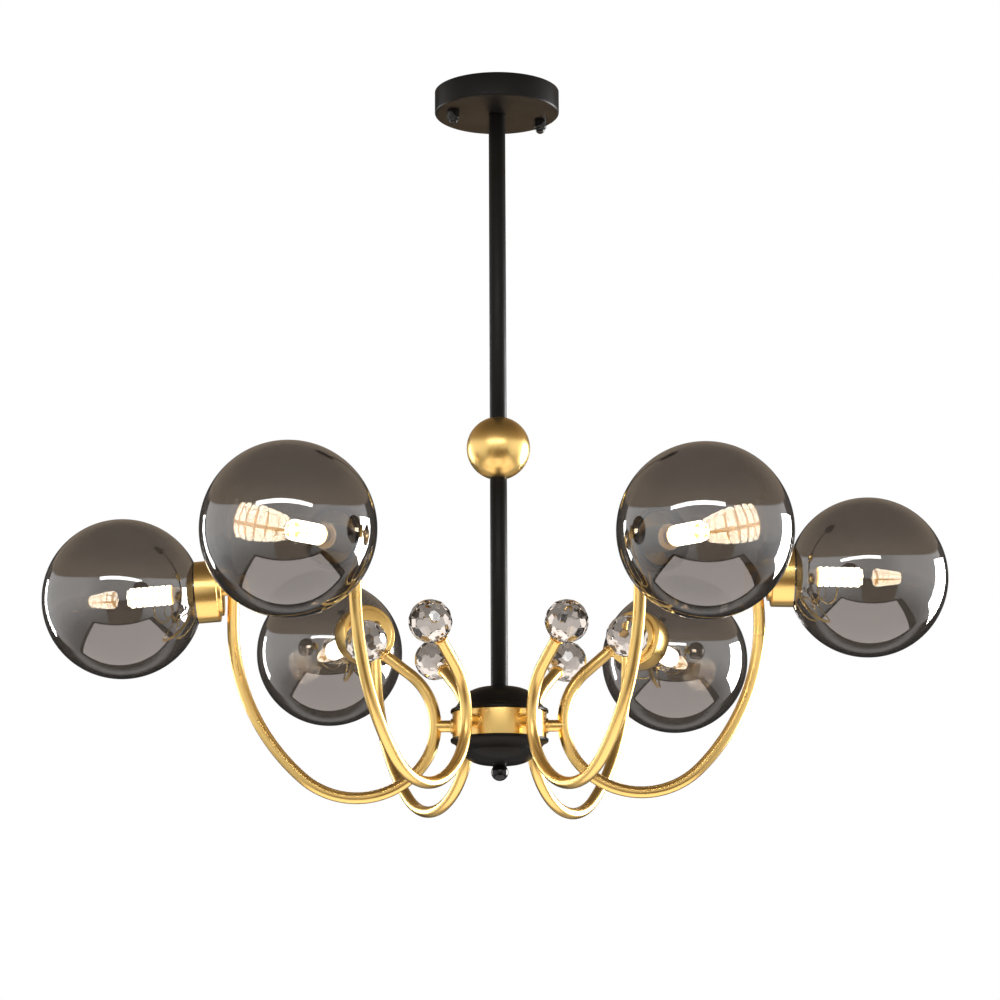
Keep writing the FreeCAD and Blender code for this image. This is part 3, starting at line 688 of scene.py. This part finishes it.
def chips(turns, shifts):
    """Bevelled blocks that stand out along +X, each turned and shifted by one of the arrays."""
    wide, tall = chip_size[0] / 2, chip_size[1] / 2
    square = np.array([(-1, -1), (1, -1), (1, 1), (-1, 1)])
    levels = np.array([column_radius - chip_sink, bulb_radius - chip_bevel, bulb_radius - chip_clear])
    inset = np.array([0, 0, chip_bevel])
    block = np.stack([np.broadcast_to(levels[:, None], (3, 4)), square[:, 0] * (wide - inset[:, None]),
                      square[:, 1] * (tall - inset[:, None])], -1).reshape(-1, 3)
    points = np.einsum("nij,pj->npi", turns, block) + shifts[:, None]
    around, after = np.arange(4), np.roll(np.arange(4), -1)
    sides = [np.c_[around, after, after + 4, around + 4] + 4 * i for i in (0, 1)]
    faces = np.concatenate([*sides, [[3, 2, 1, 0], [8, 9, 10, 11]]])
    faces = faces[None] + 12 * np.arange(len(turns))[:, None, None]
    return points.reshape(-1, 3), [tuple(face) for face in faces.reshape(-1, 4).tolist()]


body_start = bulb_start + plug_length
tip = bulb_start + bulb_length
pitch = (tip - 2.0 - body_start) / chip_rows
angles, levels = np.meshgrid(np.arange(chip_columns) * 2 * math.pi / chip_columns,
                             body_start + pitch * (np.arange(chip_rows) + 0.5))
c, s, zero = np.cos(angles.ravel()), np.sin(angles.ravel()), np.zeros(angles.size)
turns = np.stack([np.stack([c, -s, zero], -1), np.stack([s, c, zero], -1),
                  np.stack([zero, zero, zero + 1], -1)], 1)
shifts = np.stack([zero, zero, levels.ravel()], -1)
round_chips = chips(turns, shifts)
spots = end_spread * np.array([(0, 0), (1, 0), (0, 1), (-1, 0), (0, -1)])
upright = np.broadcast_to(np.array([[0, 0, -1], [0, 1, 0], [1, 0, 0]]), (len(spots), 3, 3))
end_chips = chips(upright, np.c_[spots, np.full(len(spots), tip - bulb_radius)])
foot_radius, foot_top, column_top = bulb_radius - chip_clear, body_start + 1.4, tip - 1.0
column = rounded([(0, body_start), (foot_radius, body_start), (foot_radius, foot_top),
                  (column_radius, foot_top), (column_radius, column_top), (0, column_top)],
                 [0, 0.4, 0.4, 0.3, 0.6, 0], steps=4)
plug = rounded([(0, bulb_start), (plug_radius, bulb_start), (plug_radius, body_start), (0, body_start)],
               [0, 0.8, 0, 0], steps=4)
pin = rounded([(0, bulb_start - pin_length), (pin_radius, bulb_start - pin_length), (pin_radius, bulb_start),
               (0, bulb_start)], [0, 0.5, 0, 0], steps=4)
lit_chips = glow("lit_chips", (1.0, 0.96, 0.84), 44.0)
lit_column = glow("lit_column", (1.0, 0.55, 0.14), 12.0)
for k in branches:
    bulb = f"bulb_{k + 1}"
    piece(bulb + "_chips", [on_holder(round_chips, k), on_holder(end_chips, k)], lit_chips, bulb, "lit_bulb",
          bulb)
    piece(bulb + "_column", [on_holder(lathe(column, around=48), k)], lit_column, bulb, "lit_bulb", bulb)
    pins = [on_holder(moved(lathe(pin, around=16), shift=(0, side * pin_spread, 0)), k) for side in (-1, 1)]
    piece(bulb + "_plug", [on_holder(lathe(plug, around=48), k), *pins], ceramic, bulb, "lit_bulb", bulb)


# ---- globes: blown smoked glass with a half-mirror coat ----
# 150 mm spheres with a neck that screws in the drum. The wall is about 2 mm, thicker at the neck.

globe_radius, globe_wall, neck_length, neck_radius, neck_bore, glass_gap = 75, 2, 14, 27, 24, 0.3
rim_to_globe = math.sqrt(globe_radius**2 - drum_bore**2) + glass_gap
globe_centre = rim_start + rim_to_globe
neck_end = rim_start - neck_length


def globe_outline():
    """From the inside of the far pole, back over the inner sphere, round the neck, over the outside.

    The neck's first and last corners only say which way its sides run, and are left out.
    """
    inner, outer = globe_radius - globe_wall, globe_radius
    inner_turn = np.linspace(math.pi / 2, -math.acos(neck_bore / inner), 80)
    outer_turn = np.linspace(-math.acos((neck_radius + 2) / outer), math.pi / 2, 80)
    inside = np.c_[inner * np.cos(inner_turn), inner * np.sin(inner_turn) + globe_centre]
    outside = np.c_[outer * np.cos(outer_turn), outer * np.sin(outer_turn) + globe_centre]
    inside[0, 0] = outside[-1, 0] = 0
    neck = rounded([(neck_bore, globe_centre - 60), (neck_bore, neck_end), (neck_radius, neck_end),
                    (neck_radius, globe_centre - 65)], [0, 1.2, 1.2, 0], steps=5)[1:-1]
    return np.concatenate([inside, neck, outside])


smoked = clear_glass("smoked_mirror_glass", (0.62, 0.59, 0.56), 2.2)
smoke = node(smoked.node_tree, "ShaderNodeVolumeAbsorption", Color=(0.31, 0.27, 0.235, 1), Density=600.0)
smoked.node_tree.links.new(smoke.outputs[0], smoked.node_tree.nodes["Material Output"].inputs["Volume"])
globe = lathe(globe_outline(), around=144)
for k in branches:
    body = f"globe_{k + 1}"
    piece(body + "_glass", [on_holder(globe, k)], smoked, body, "smoked_glass", body)
